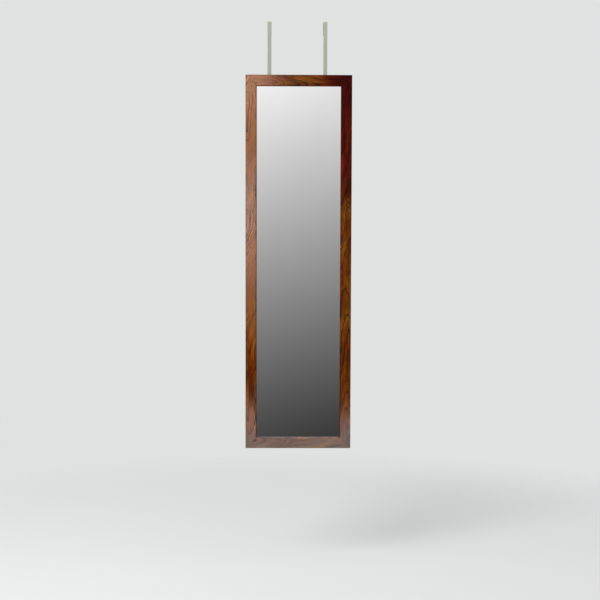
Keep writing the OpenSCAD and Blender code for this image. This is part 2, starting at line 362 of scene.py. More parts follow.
# how far the left stile goes to the pale corner's tone, which is partly the print's tone and partly
# painted light, from its lower half at 0 to its head at 1
PALE_STOPS = ((0.0, grey(0.0)), (0.13, grey(0.5)), (0.27, grey(0.55)), (0.38, grey(0.2)),
              (0.58, grey(0.15)), (0.68, grey(0.6)), (0.88, grey(0.6)), (1.0, grey(1.0)))

# noise cells per metre across, through and along the grain
WARP_CELLS = (60, 60, 11)
SHEEN_CELLS = (75, 75, 5)
CAST_CELLS = (95, 95, 6)
STREAK_CELLS = (110, 110, 4)
FLECK_CELLS = (240, 240, 38)
FIBRE_CELLS = (1500, 1500, 28)
PORE_CELLS = (2300, 2300, 130)
REGION_CELLS = (18, 18, 4)
CHIP_CELLS = (600, 600, 450)
# spans of those noises: low and high, then the shares they turn into, if not 0 and 1
RED_SPAN, OLIVE_SPAN = (0.50, 0.66, 0.0, 0.9), (0.35, 0.48, 0.8, 0.0)
STREAK_SPAN = (0.50, 0.72, 0.0, 0.65)
PORE_SPAN, PORE_SHARE = (0.60, 0.70), 0.5
# the factors that flecks and fibres vary the tone by
FLECK_RANGE, FIBRE_RANGE = (0.70, 1.28), (0.86, 1.10)

# where the wood's regions begin and where they are full, in metres along X and Z. The redder,
# darker ones are partly painted shade, the pale ones partly painted light and the grey foot painted
# sheen
RED_DARK_X, RED_DARK_Z = (0.03, 0.13), (-0.69, -0.53)
CORNER_X, CORNER_Z = (0.10, 0.17), (-0.36, -0.21)
PALE_SIDE_X, PALE_SIDE_Z = (-0.03, -0.13), (-1.17, -1.07)
PALE_X, PALE_Z = (-0.09, -0.16), (-1.12, -0.21)
GREY_Z = (-1.45, -1.51)
# the most that a region's wash takes of the tone
PALE_SIDE_SHARE, PALE_SHARE, GREY_SHARE = 0.30, 0.5, 0.38


def centred(g, value, reach):
    """A noise value turned into a length of up to half of reach either way."""
    return g.times(g.minus(value, 0.5), reach)


def flame_rings(g, grain):
    """Ring number of crown-cut timber: arches that follow each other along the board."""
    u, _, v = g.split(grain)
    heart = centred(g, g.noise(g.join(0.0, 0.0, v), HEART_TURNS, 1.0), HEART_SWAY)
    warp = centred(g, g.cells(grain, WARP_CELLS), WARP_SWAY)
    side = g.plus(g.minus(u, heart), warp)
    bow = g.math("SQRT", g.plus(g.times(side, side), HEART_R ** 2))
    surge = centred(g, g.noise(g.join(3.1, 0.0, v), SURGE_TURNS, 1.0), SURGE_SWAY)
    climb = g.plus(g.times(v, FLAME_RISE), surge)
    return g.math("DIVIDE", g.plus(bow, climb), RING_W)


def ring_figure(g, grain):
    """Broad flames of light and dark along the rings. Returns their tone, how far it has
    darkened towards each ring's end, and the thin vein at the end itself."""
    ring = flame_rings(g, grain)
    v = g.split(grain)[2]
    flames = g.noise(g.join(g.times(ring, FLAMES_RING), 0.0, g.times(v, FLAMES_METRE)), 1.0)
    sheen = g.cells(grain, SHEEN_CELLS)
    body = g.plus(g.times(flames, FLAME_SHARE), g.times(sheen, SHEEN_SHARE))
    tone = g.ramp(body, FLAME_STOPS)

    # each ring darkens to its end, much in some and little in others
    phase = g.math("FRACT", ring)
    strength = g.noise(g.join(g.math("FLOOR", ring), 5.0, g.times(v, 3.0)), 0.83, 0.0)
    strength = g.span(strength, *STRENGTH_SPAN)
    end = g.span(phase, *END_SPAN, 1.0, 0.0)
    late = g.times(g.times(g.span(phase, *LATE_SPAN, smooth=True), end), strength)
    vein = g.times(g.times(g.span(phase, *VEIN_SPAN, smooth=True), end), strength)
    return g.mix(late, tone, UMBER), late, vein


def fine_grain(g, grain, tone):
    """Russet and olive casts, pigment streaks, flecks, fibres and pores, all drawn out along
    the grain. Returns the tone, the fibres and the pores."""
    cast = g.cells(grain, CAST_CELLS, 1.0, shift=(7.0, 0.0, 0.0))
    tone = g.dye(g.span(cast, *RED_SPAN), tone, RED_CAST)
    tone = g.dye(g.span(cast, *OLIVE_SPAN), tone, OLIVE_CAST)
    streak = g.cells(grain, STREAK_CELLS, 3.0, 0.6)
    tone = g.mix(g.span(streak, *STREAK_SPAN), tone, UMBER)
    tone = g.vary(tone, g.cells(grain, FLECK_CELLS), *FLECK_RANGE)
    fibre = g.cells(grain, FIBRE_CELLS)
    tone = g.vary(tone, fibre, *FIBRE_RANGE)
    pores = g.span(g.cells(grain, PORE_CELLS, 1.0), *PORE_SPAN)
    return g.mix(g.times(pores, PORE_SHARE), tone, UMBER), fibre, pores


def region(g, x, x_span, z, z_span):
    """1 where both places are past their spans, and softly down to 0 before them."""
    return g.times(g.span(x, *x_span, smooth=True), g.span(z, *z_span, smooth=True))


def wood_regions(g, grain, x, z, tone):
    """Redder and darker towards the frame's upper right, partly the print's tone and partly painted
    shade; paler towards its upper left, partly tone and partly painted light; and a greyer foot
    that is painted sheen, all with wandering edges."""
    edge = centred(g, g.cells(grain, REGION_CELLS), REGION_SWAY)
    x, z = g.plus(x, edge), g.plus(z, edge)
    # redder and darker to the upper right: part tone, part painted shade
    tone = g.dye(region(g, x, RED_DARK_X, z, RED_DARK_Z), tone, RED_TONE_AND_SHADE)
    tone = g.dye(region(g, x, CORNER_X, z, CORNER_Z), tone, DARK_CORNER)
    # paler to the upper left: part tone, part painted light
    pale_side = g.mix(PALE_SIDE_SHARE, g.mix(1.0, tone, PALE_TONE_AND_LIGHT, "MULTIPLY"), PALE_WASH)
    tone = g.mix(region(g, x, PALE_SIDE_X, z, PALE_SIDE_Z), tone, pale_side)
    # the pale corner of the left stile, in bands down its height: part tone, part painted light
    fade = g.ramp(g.span(z, *PALE_Z), PALE_STOPS)
    palest = g.times(g.span(x, *PALE_X, 0.0, PALE_SHARE, smooth=True), fade)
    tone = g.mix(palest, tone, PALE_CORNER)
    # the foot washed grey: painted sheen
    return g.mix(g.span(z, *GREY_Z, 0.0, GREY_SHARE), tone, GREY_WASH)


def bare_back(g, x, y, z):
    """1 on the part of the back that the foil leaves bare, where the board shows."""
    rise = g.plus(g.math("ABSOLUTE", g.minus(z, Z_MIDDLE)), FRAME_W / 2 - FRAME_H / 2)
    outer = g.math("MAXIMUM", g.math("ABSOLUTE", x), rise)
    foil_end = FRAME_W / 2 - FOIL_WRAP
    return g.times(g.span(y, Y_BACK - BACK_NEAR, Y_BACK - BACK_AT),
                   g.span(outer, foil_end - FOIL_EDGE, foil_end, 1.0, 0.0))


def walnut_foil(name, along, outward, shift, way):
    """Printed walnut foil under a satin lacquer. along is the grain's axis, X or Z, and outward
    the sign of the rail's outer side, which the print wraps round. shift moves the print so that
    no two rails match, and way turns its arches to the one end or the other."""
    material, g, shader = new_material(name)
    place = g.object_coords()
    x, y, z = g.split(place)
    across, length = (z, x) if along == "X" else (x, z)
    across = g.plus(across, g.times(g.minus(y, Y_FRONT), outward))
    grain = g.stretch(g.join(across, y, length), (1, 1, way), shift)

    tone, late, vein = ring_figure(g, grain)
    tone, fibre, pores = fine_grain(g, grain, tone)
    # the print's tone, with painted shade and light towards the upper corners and painted sheen at
    # the foot
    tone = wood_regions(g, grain, x, z, tone)
    tone = g.mix(g.times(vein, VEIN_SHARE), tone, VEIN)
    bare = bare_back(g, x, y, z)
    chips = g.cells(grain, CHIP_CELLS, 4.0, 0.7)
    tone = g.mix(bare, tone, g.mix(g.span(chips, 0.35, 0.7), RAW_BOARD, RAW_CHIPS))
    g.feed(shader.inputs["Base Color"], tone)

    # the lacquer lies thinner in the open grain, and the bare board is dull
    rough = g.rough(g.cells(place, (35, 35, 35), 3.0), *LACQUER_ROUGH)
    open_grain = g.math("MAXIMUM", vein, g.times(late, 0.5))
    rough = g.plus(rough, g.times(open_grain, OPEN_GRAIN_ROUGH))
    g.feed(shader.inputs["Roughness"], g.math("MAXIMUM", rough, g.times(bare, RAW_ROUGH)))
    shader.inputs["Specular IOR Level"].default_value = LACQUER_SPECULAR
    height = g.minus(g.times(fibre, 0.35), g.times(pores, 0.3))
    fine = g.bump(height, 0.03 * MM, 0.5)
    swell = g.cells(place, (90, 90, 90), 1.0)
    g.feed(shader.inputs["Normal"], g.bump(swell, 0.05 * MM, 0.5, fine))
    return material


# ---------- other materials ----------

SILVER_DIM, SILVER_CLEAR = rgb(0.905, 0.918, 0.908), rgb(0.925, 0.934, 0.925)
BRASS_DARK, BRASS_LIGHT = rgb(0.50, 0.34, 0.11), rgb(0.66, 0.48, 0.18)
BOARD_DARK, BOARD_LIGHT = rgb(0.105, 0.052, 0.022), rgb(0.185, 0.100, 0.048)
BOARD_FLECK = rgb(0.32, 0.21, 0.12)
CARD_DARK, CARD_LIGHT = rgb(0.36, 0.235, 0.125), rgb(0.50, 0.355, 0.21)
CARD_FLUTES = 45.0
PORE_SHADE = grey(0.012)


def silvered_glass():
    """Mirror: silver seen through glass, with the faint green of the glass and its ripple."""
    material, g, shader = new_material("silvered_glass")
    place = g.object_coords()
    haze = g.cells(place, (9, 9, 5), 3.0)
    g.feed(shader.inputs["Base Color"], g.between(haze, SILVER_DIM, SILVER_CLEAR))
    shader.inputs["Metallic"].default_value = 1.0
    g.feed(shader.inputs["Roughness"], g.span(haze, 0.35, 0.75, 0.012, 0.03))
    shader.inputs["Coat Weight"].default_value = 0.3
    shader.inputs["Coat Roughness"].default_value = 0.01
    ripple = g.cells(place, (7, 7, 4), 0.0)
    g.feed(shader.inputs["Normal"], g.bump(ripple, 0.02 * MM, 0.3))
    return material


def plated_steel(name, colour, line_cells, roughness, depth):
    """Plated steel with fine rolling lines of the given depth and a faint cloudiness."""
    material, g, shader = new_material(name)
    place = g.object_coords()
    lines = g.cells(place, line_cells, 2.0, 0.6)
    cloud = g.cells(place, (45, 45, 30), 3.0)
    base = g.vary(g.vary(colour, cloud, 0.93, 1.05), lines, 0.94, 1.05)
    g.feed(shader.inputs["Base Color"], base)
    shader.inputs["Metallic"].default_value = 1.0
    dull = g.plus(g.times(lines, 0.4), g.times(cloud, 0.6))
    g.feed(shader.inputs["Roughness"], g.span(dull, 0.35, 0.65, roughness - 0.05, roughness + 0.06))
    g.feed(shader.inputs["Normal"], g.bump(lines, depth, 0.5))
    return material


def turned_brass():
    material, g, shader = new_material("turned_brass")
    dull = g.cells(g.object_coords(), (500, 500, 500), 3.0)
    g.feed(shader.inputs["Base Color"], g.between(dull, BRASS_DARK, BRASS_LIGHT))
    shader.inputs["Metallic"].default_value = 1.0
    g.feed(shader.inputs["Roughness"], g.rough(dull, 0.28, 0.42))
    return material


def brown_hardboard():
    """The smooth face of hardboard: pressed fibres in close browns, slightly mottled."""
    material, g, shader = new_material("brown_hardboard")
    place = g.object_coords()
    fibres = g.cells(place, (420, 420, 420), 5.0, 0.75, distortion=0.6)
    flecks = g.cells(place, (1400, 1400, 900))
    mottle = g.cells(place, (14, 14, 9), 3.0)
    tone = g.vary(g.between(fibres, BOARD_DARK, BOARD_LIGHT), mottle, 0.82, 1.12)
    tone = g.mix(g.span(flecks, 0.64, 0.74, 0.0, 0.5), tone, BOARD_FLECK)
    g.feed(shader.inputs["Base Color"], tone)
    g.feed(shader.inputs["Roughness"], g.rough(mottle, 0.48, 0.62))
    g.feed(shader.inputs["Normal"], g.bump(fibres, 0.06 * MM, 0.5))
    return material


def brown_card():
    """Plain card with the faint bands of its flutes."""
    material, g, shader = new_material("brown_card")
    place = g.object_coords()
    fibres = g.cells(place, (300, 300, 60), 5.0, 0.7)
    flute = g.add("ShaderNodeTexWave", {"wave_type": "BANDS", "bands_direction": "Z"},
                  {"Vector": place, "Scale": CARD_FLUTES}).outputs[1]
    g.feed(shader.inputs["Base Color"], g.between(fibres, CARD_DARK, CARD_LIGHT))
    shader.inputs["Roughness"].default_value = 0.85
    g.feed(shader.inputs["Normal"], g.bump(flute, 0.08 * MM, 0.4))
    return material


def cell_foam(name, dark, light, cell):
    """Closed-cell foam: fine open pores on a matt skin, with painted shade in the pores."""
    material, g, shader = new_material(name)
    place = g.object_coords()
    cells = g.add("ShaderNodeTexVoronoi", {"feature": "F1"},
                  {"Vector": place, "Scale": 1 / cell}).outputs["Distance"]
    mottle = g.cells(place, (120, 120, 120), 4.0, 0.6)
    tone = g.mix(g.span(mottle, NOISE_LOW, NOISE_HIGH), dark, light)
    # pores darkened towards their middles: painted shade in the pits
    tone = g.mix(g.span(cells, 0.0, 0.35, 0.55, 0.0), tone, PORE_SHADE)
    g.feed(shader.inputs["Base Color"], tone)
    g.feed(shader.inputs["Roughness"], g.rough(mottle, 0.72, 0.88))
    shader.inputs["Specular IOR Level"].default_value = 0.35
    g.feed(shader.inputs["Normal"], g.bump(cells, 0.12 * MM, 0.6))
    return material


# ---------- rows of equal pieces ----------

ROW_INPUTS = (("Geometry", "Geometry"), ("Piece", "Object"), ("Count", "Int"), ("First", "Vector"),
              ("Step", "Vector"), ("Turn", "Vector"), ("Finish", "Material"))


def copies_tree():
    """Geometry tree that sets copies of one piece in a straight row, as screws and points are."""
    tree = bpy.data.node_groups.new("copies_in_a_row", "GeometryNodeTree")
    for label, kind in ROW_INPUTS:
        tree.interface.new_socket(label, in_out="INPUT", socket_type="NodeSocket" + kind)
    tree.interface.new_socket("Geometry", in_out="OUTPUT", socket_type="NodeSocketGeometry")
    g = Graph(tree)
    given = g.add("NodeGroupInput").outputs
    row = g.add("GeometryNodeMeshLine", {"mode": "OFFSET"},
                {"Count": given["Count"], "Start Location": given["First"],
                 "Offset": given["Step"]}).outputs[0]
    source = g.add("GeometryNodeObjectInfo", {"transform_space": "ORIGINAL"},
                   {"Object": given["Piece"]}).outputs["Geometry"]
    turn = g.add("FunctionNodeEulerToRotation", None, {0: given["Turn"]}).outputs[0]
    copies = g.add("GeometryNodeInstanceOnPoints", None,
                   {"Points": row, "Instance": source, "Rotation": turn}).outputs[0]
    real = g.add("GeometryNodeRealizeInstances", None, {0: copies}).outputs[0]
    done = g.add("GeometryNodeSetMaterial", None,
                 {"Geometry": real, "Material": given["Finish"]}).outputs[0]
    g.add("NodeGroupOutput", None, {0: done})
    return tree


COPIES = copies_tree()


def row_mesh(source, count, first, step, turn, finish):
    """The plain mesh of a row of copies of source."""
    carrier = new_object("row", bpy.data.meshes.new("row"))
    rows = carrier.modifiers.new("row", "NODES")
    rows.node_group = COPIES
    given = {"Piece": source, "Count": count, "First": first, "Step": step,
             "Turn": turn, "Finish": finish}
    for item in COPIES.interface.items_tree:
        if item.in_out == "INPUT" and item.name in given:
            rows[item.identifier] = given[item.name]
    mesh = evaluated_mesh(carrier)
    carrier.modifiers.clear()
    bpy.data.objects.remove(carrier)
    return mesh


def joined(name, meshes, finish):
    """One object that holds several row meshes."""
    bm = bmesh.new()
    for mesh in meshes:
        bm.from_mesh(mesh)
    mesh = bpy.data.meshes.new(name)
    bm.to_mesh(mesh)
    bm.free()
    smooth_but_for_edges(mesh)
    piece = apply_modifiers(new_object(name, mesh))
    paint(piece, finish)
    return piece


def settle(piece, body, node):
    """Puts a finished piece on its body, in place of the CAD node it stands for."""
    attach(piece, body)
    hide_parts(node)
    return piece


# ---------- frame ----------

RAIL_EASE = 0.25 * MM
SHEET_EASE = 0.3 * MM
# an edge nearer to the back than this is left sharp unless it is a mitre, and so is any edge
# that bends by less than the angle
BACK_ZONE = 3 * MM
RAIL_EDGE = radians(28)
MITRE_TOLERANCE = 0.01 * MM
# what walnut_foil is told of each rail: along, outward, shift and way
RAILS = {
    "top_rail": ("X", 1, (0.216, 0.49, 2.11), 1),
    "bottom_rail": ("X", -1, (1.508, 0.2, 1.53), 1),
    "left_stile": ("Z", -1, (0.190, 0.12, 0.99), -1),
    "right_stile": ("Z", 1, (-0.183, 0.24, 0.27), 1),
}


def weigh_long_edges(piece):
    """Marks the mitre, sight and rim edges for easing. Of the drilled back, only the mitres."""
    bm = bmesh.new()
    bm.from_mesh(piece.data)
    weight = bm.edges.layers.float.new("bevel_weight_edge")
    for edge in bm.edges:
        run = edge.verts[0].co - edge.verts[1].co
        front = all(v.co.y < Y_BACK - BACK_ZONE for v in edge.verts)
        mitre = abs(abs(run.x) - abs(run.z)) < MITRE_TOLERANCE < abs(run.x)
        hard = len(edge.link_faces) == 2 and edge.calc_face_angle(0) > RAIL_EDGE
        if hard and (front or mitre):
            edge[weight] = 1.0
    bm.to_mesh(piece.data)
    bm.free()


def make_rails():
    rails = {}
    for node, (along, outward, shift, way) in RAILS.items():
        piece = whole_copy(node, node + "_moulding")
        weigh_long_edges(piece)
        add_bevel(piece, RAIL_EASE, 2, by_weight=True)
        apply_modifiers(piece)
        paint(piece, walnut_foil("walnut_" + node, along, outward, shift, way))
        rails[node] = settle(piece, "frame", node)
    return rails


def make_sheets():
    """Glass and hardboard with their arrises eased. The card stays as it was cut."""
    for node, name, finish, slot in (
            ("mirror_glass", "mirror_pane", silvered_glass(), "mirror"),
            ("backing_board", "hardboard_back", brown_hardboard(), "hardboard")):
        piece = whole_copy(node, name)
        add_bevel(piece, SHEET_EASE, 2)
        apply_modifiers(piece)
        paint(piece, finish)
        settle(piece, "frame", node)
    paint(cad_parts["card_packing"], brown_card())


# ---------- retainer points ----------

REBATE_W = 7 * MM
STILE_POINTS = 8
RAIL_POINTS = 2
# a point goes into the wood by its bite and over the board by its reach
POINT_BITE, POINT_REACH = 5 * MM, 8 * MM
POINT_HALF_W = 3 * MM
POINT_CORNER = 1 * MM
POINT_FOLD = POINT_REACH * 0.6
POINT_LIFT = 0.7 * MM
POINT_EASE = 0.12 * MM


def point_source():
    """One point that points along +X, with the rebate's wall at x = 0: a flat tab with cut
    corners, eased edges and an end that lifts beyond its fold."""
    low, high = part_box("retainer_points")
    start, end, half = POINT_HALF_W - POINT_BITE, POINT_REACH, POINT_HALF_W
    root = [(POINT_FOLD, half), (start, half), (-POINT_BITE, 0), (start, -half),
            (POINT_FOLD, -half)]
    tip = [(end - POINT_CORNER, -half), (end, -half + POINT_CORNER),
           (end, half - POINT_CORNER), (end - POINT_CORNER, half)]
    bm = bmesh.new()
    under, over = [], []
    for ring, y in ((under, low.y), (over, high.y)):
        for x, z in root + tip:
            lift = POINT_LIFT * max(0, x - POINT_FOLD) / (end - POINT_FOLD)
            ring.append(bm.verts.new((x, y + lift, z)))
        bm.faces.new(ring[:len(root)])
        bm.faces.new(ring[len(root) - 1:] + ring[:1])
    for i in range(len(under)):
        n = (i + 1) % len(under)
        bm.faces.new((under[i], under[n], over[n], over[i]))
    source = new_object("point_source", mesh_from(bm, "point_source"))
    add_bevel(source, POINT_EASE, 1)
    return apply_modifiers(source, even=False)


def make_retainer_points(finish):
    """Points round the back, evenly along each stile and two on each rail."""
    source = point_source()
    wood = RAIL_W - REBATE_W
    x_wall = FRAME_W / 2 - wood
    pitch = (FRAME_H - 2 * RAIL_W) / STILE_POINTS
    z_first = Z_BOTTOM + RAIL_W + pitch / 2
    wide = (FRAME_W - 2 * RAIL_W) / RAIL_POINTS
    rows = []
    for count, first, step, turn in (
            (STILE_POINTS, (-x_wall, 0, z_first), (0, 0, pitch), 0),
            (RAIL_POINTS, (-wide / 2, 0, Z_TOP - wood), (wide, 0, 0), pi / 2),
            (RAIL_POINTS, (-wide / 2, 0, Z_BOTTOM + wood), (wide, 0, 0), -pi / 2),
            (STILE_POINTS, (x_wall, 0, z_first), (0, 0, pitch), pi)):
        rows.append(row_mesh(source, count, first, step, (0, turn, 0), finish))
    bpy.data.objects.remove(source)
    piece = joined("glazing_points", rows, finish)
    settle(piece, "frame", "retainer_points")


# ---------- hooks ----------

STRAP_EASE = 0.28 * MM
FOAM_EASE = 0.4 * MM


def make_hooks(finish):
    for side in SIDES:
        node = side + "_hook"
        piece = whole_copy(node, side + "_strap")
        add_bevel(piece, STRAP_EASE, 3)
        apply_modifiers(piece)
        paint(piece, finish)
        settle(piece, node, node)


def make_pads(finish):
    for side in SIDES:
        for part in ("top_pad", "rear_pad"):
            node = f"{side}_hook_{part}"
            piece = whole_copy(node, f"{side}_{part}_foam")
            add_bevel(piece, FOAM_EASE, 3)
            apply_modifiers(piece)
            paint(piece, finish)
            settle(piece, side + "_hook", node)


# ---------- screws and washers of the hooks ----------

SCREW_R = 2 * MM
SCREW_TURN = radians(27)
HEAD_EASE = 0.15 * MM
# the shoulder's radius as a share of the head's height
HEAD_SHOULDER = 0.42
CROWN_R = 9 * MM
CROWN_DROP = 0.28 * MM
CROWN_STEPS = 6
THREAD_PITCH = 0.7 * MM
THREAD_DEPTH = 0.42 * MM
# half the width of the thread's foot
THREAD_HALF = 0.42 * THREAD_PITCH
THREAD_STEPS = 18
# how far the shank and the thread run into what they join
OVERLAP = 0.1 * MM
# the tip's taper along the screw and across it, and where the thread stops short of the tip
TIP_ALONG, TIP_ACROSS, TIP_BARE = 0.5 * MM, 0.4 * MM, 0.6 * MM
RECESS_DEPTH = 1.6 * MM
RECESS_OVER = 0.3 * MM
# the cross's reach as a share of the head's radius, and that of its floor as a share of it
RECESS_REACH, RECESS_TAPER = 0.58, 0.42
# of the cross at the recess's floor and above its mouth: half an arm's width, and the web
FLOOR_ARM = (0.26 * MM, 0.16 * MM)
MOUTH_ARM = (0.44 * MM, 0.34 * MM)
WASHER_R_IN = 2.25 * MM
WASHER_EASE = 0.12 * MM


def cross_section(bm, reach, half, web, y):
    """Corners of a plus sign in the plane at y, with its inner corners cut off by a web."""
    quarter = [(reach, half), (half + web, half), (half, half + web), (half, reach)]
    ring = []
    for turn in range(4):
        for x, z in quarter:
            for _ in range(turn):
                x, z = -z, x
            ring.append(bm.verts.new((x, y, z)))
    return ring


def recess_cutter(y_floor, y_over, reach):
    """The tapered cross that a driver's tip leaves in a screw head."""
    bm = bmesh.new()
    deep = cross_section(bm, reach * RECESS_TAPER, *FLOOR_ARM, y_floor)
    wide = cross_section(bm, reach, *MOUTH_ARM, y_over)
    for i in range(len(deep)):
        n = (i + 1) % len(deep)
        bm.faces.new((deep[i], deep[n], wide[n], wide[i]))
    bm.faces.new(deep)
    bm.faces.new(wide)
    return new_object("recess_cutter", mesh_from(bm, "recess_cutter"))


def screw_head(head_r, y_head, top):
    """A pan head with a cross recess: a round shoulder runs into a shallow crown."""
    shoulder = (top - y_head) * HEAD_SHOULDER
    profile = [(0, y_head), (head_r - HEAD_EASE, y_head), (head_r, y_head + HEAD_EASE)]
    profile += arc((head_r - shoulder, top - CROWN_DROP - shoulder), shoulder, 0, 72, 8)
    inner = profile[-1][0]
    for i in range(1, CROWN_STEPS):
        r = inner * (1 - i / CROWN_STEPS)
        profile.append((r, top - CROWN_R + (CROWN_R ** 2 - r ** 2) ** 0.5))
    profile.append((0, top))
    head = new_object("head_source", lathe(profile, "head_source", 64))
    cutter = recess_cutter(top - RECESS_DEPTH, top + RECESS_OVER, head_r * RECESS_REACH)
    cut = head.modifiers.new("recess", "BOOLEAN")
    cut.operation = "DIFFERENCE"
    cut.solver = "EXACT"
    cut.object = cutter
    apply_modifiers(head, even=False)
    bpy.data.objects.remove(cutter)
    return head


def screw_source(radius, head_r, head_h, y_head, y_tip):
    """A pan head screw along Y at the origin, with a rolled thread."""
    head = screw_head(head_r, y_head, y_head + head_h)
    bm = bmesh.new()
    bm.from_mesh(head.data)
    bpy.data.objects.remove(head)
    core = radius - THREAD_DEPTH
    buried = y_head + OVERLAP
    shank = [(0, buried), (core, buried), (core, y_tip + TIP_ALONG),
             (core - TIP_ACROSS, y_tip), (0, y_tip)]
    bm.from_mesh(lathe(shank, "shank", 24))
    add_thread(bm, core - OVERLAP, radius, y_head - OVERLAP, y_tip + TIP_BARE)
    return new_object("screw_source", mesh_from(bm, "screw_source"))


def add_thread(bm, root, crest, y_start, y_end):
    """A ridge of triangular section wound round the shank."""
    count = int((y_start - y_end) / THREAD_PITCH * THREAD_STEPS)
    last = None
    for i in range(count + 1):
        turn = 2 * pi * i / THREAD_STEPS
        y = y_start - THREAD_PITCH * i / THREAD_STEPS
        section = ((root, y + THREAD_HALF), (crest, y), (root, y - THREAD_HALF))
        ring = [bm.verts.new((r * cos(turn), h, r * sin(turn))) for r, h in section]
        if last:
            for k in range(3):
                n = (k + 1) % 3
                bm.faces.new((last[k], last[n], ring[n], ring[k]))
        else:
            bm.faces.new(ring)
        last = ring
    bm.faces.new(last[::-1])


def washer_source(inner, outer, low, high):
    """A flat washer along Y at the origin, with eased edges."""
    ease = WASHER_EASE
    profile = [(inner + ease, low), (outer - ease, low), (outer, low + ease),
               (outer, high - ease), (outer - ease, high), (inner + ease, high),
               (inner, high - ease), (inner, low + ease)]
    return new_object("washer_source", lathe(profile, "washer_source"))


def make_hook_fasteners(finish, brass):
    for side in SIDES:
        low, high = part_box(side + "_hook_screws")
        head_r = (high.x - low.x) / 2
        x = (high.x + low.x) / 2
        z_first, z_second = high.z - head_r, low.z + head_r
        first, step = (x, 0, z_first), (0, 0, z_second - z_first)
        under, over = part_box(side + "_hook_washers")
        screw = screw_source(SCREW_R, head_r, high.y - over.y, over.y, low.y)
        washer = washer_source(WASHER_R_IN, (over.x - under.x) / 2, under.y, over.y)
        for source, part in ((screw, "screws"), (washer, "washers")):
            mesh = row_mesh(source, 2, first, step, (0, SCREW_TURN, 0), finish)
            piece = joined(f"{side}_hook_{part}_set", [mesh], finish)
            bpy.data.objects.remove(source)
            settle(piece, "frame", f"{side}_hook_{part}")
        paint(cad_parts[side + "_hook_inserts"], brass)


# ---------- bumpers ----------

BUMPER_RIM = 1.2 * MM
BUMPER_EASE = 0.2 * MM
# the groove's place as a share of the radius, its half widths at mouth and floor, and its depth
GROOVE_PLACE = 0.64
GROOVE_MOUTH, GROOVE_FLOOR = 0.5 * MM, 0.3 * MM
GROOVE_DEPTH = 0.35 * MM
# radius and depth of the dished middle's rings
DISH = ((2.6 * MM, 0), (2.2 * MM, 0.15 * MM), (1.4 * MM, 0.5 * MM), (0, 0.6 * MM))


def make_bumpers(finish):
    """Foam rubber discs with a rounded rim, a moulded groove and a dished middle."""
    for corner in CORNERS:
        node = corner + "_bumper"
        low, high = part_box(node)
        r = (high.x - low.x) / 2
        groove = r * GROOVE_PLACE
        deep = high.y - GROOVE_DEPTH
        profile = [(0, low.y), (r - BUMPER_EASE, low.y), (r, low.y + BUMPER_EASE)]
        profile += arc((r - BUMPER_RIM, high.y - BUMPER_RIM), BUMPER_RIM, 0, 90, 8)
        profile += [(groove + GROOVE_MOUTH, high.y), (groove + GROOVE_FLOOR, deep),
                    (groove - GROOVE_FLOOR, deep), (groove - GROOVE_MOUTH, high.y)]
        profile += [(ring, high.y - depth) for ring, depth in DISH]
        mesh = lathe(profile, node + "_disc", 64)
        mesh.transform(Matrix.Translation(((low.x + high.x) / 2, 0, (low.z + high.z) / 2)))
        piece = new_object(node + "_disc", mesh)
        paint(piece, finish)
        settle(piece, "frame", node)


# ---------- stage ----------

BACKDROP = rgb(0.745, 0.760, 0.752)
FLOOR_Z = -1.981
FLOOR_R = 2.4
FLOOR_TONE = rgb(0.80, 0.81, 0.805)
FLOOR_FADE = (0.5 * FLOOR_R, 0.98 * FLOOR_R)

# display level that the mirror sees, by the height of the direction it looks in: its value at
# the horizon, its slope and bend there, its change across from left to right, and its limits
LEVEL_HORIZON, LEVEL_SLOPE, LEVEL_BEND = 0.703, 2.36, 0.9
LEVEL_ACROSS = 0.081
LEVEL_LOW, LEVEL_HIGH = 0.24, 0.97
ACROSS_X = 0.1
# well below the horizon it is lighter again: where, and by how much
BELOW_Z, LEVEL_BELOW = (-0.36, -0.18), 0.6
# the display's own curve from light to level
CURVE_OFFSET, CURVE_POWER = 0.055, 2.4
SURROUND_TINT = rgb(1.06, 1.045, 1.057)
FILL_BELOW, FILL_ABOVE = rgb(0.44, 0.44, 0.44), rgb(0.76, 0.765, 0.77)


def add_floor():
    """A pale round floor that fades out before its edge."""
    bm = bmesh.new()
    bmesh.ops.create_circle(bm, cap_ends=True, segments=96, radius=FLOOR_R)
    for v in bm.verts:
        v.co.z = FLOOR_Z
    floor = new_object("studio_floor", mesh_from(bm, "studio_floor"))
    material, g, shader = new_material("pale_floor")
    x, y, _ = g.split(g.object_coords())
    away = g.math("SQRT", g.plus(g.times(x, x), g.times(y, y)))
    shader.inputs["Base Color"].default_value = FLOOR_TONE
    shader.inputs["Roughness"].default_value = 0.9
    shader.inputs["Specular IOR Level"].default_value = 0.1
    clear = g.add("ShaderNodeBsdfTransparent").outputs[0]
    fade = g.span(away, *FLOOR_FADE, smooth=True)
    blend = g.add("ShaderNodeMixShader", None, {0: fade, 1: shader.outputs[0], 2: clear}).outputs[0]
    g.feed(material.node_tree.nodes["Material Output"].inputs[0], blend)
    paint(floor, material)


def surround_light(g, x, z):
    """Light of the surround that reflections see: pale above, down to a dark band below the
    horizon, and lighter again under it."""
    level = g.times(g.minus(LEVEL_SLOPE, g.times(z, LEVEL_BEND)), z)
    level = g.plus(level, LEVEL_HORIZON)
    level = g.plus(level, g.span(x, -ACROSS_X, ACROSS_X, LEVEL_ACROSS, -LEVEL_ACROSS))
    level = g.math("MINIMUM", g.math("MAXIMUM", level, LEVEL_LOW), LEVEL_HIGH)
    below = g.span(z, *BELOW_Z, 1.0, 0.0, smooth=True)
    level = g.plus(level, g.times(below, LEVEL_BELOW))
    base = g.math("DIVIDE", g.plus(level, CURVE_OFFSET), 1 + CURVE_OFFSET)
    light = g.math("POWER", base, CURVE_POWER)
    return g.mix(1.0, g.join(light, light, light), SURROUND_TINT, "MULTIPLY")


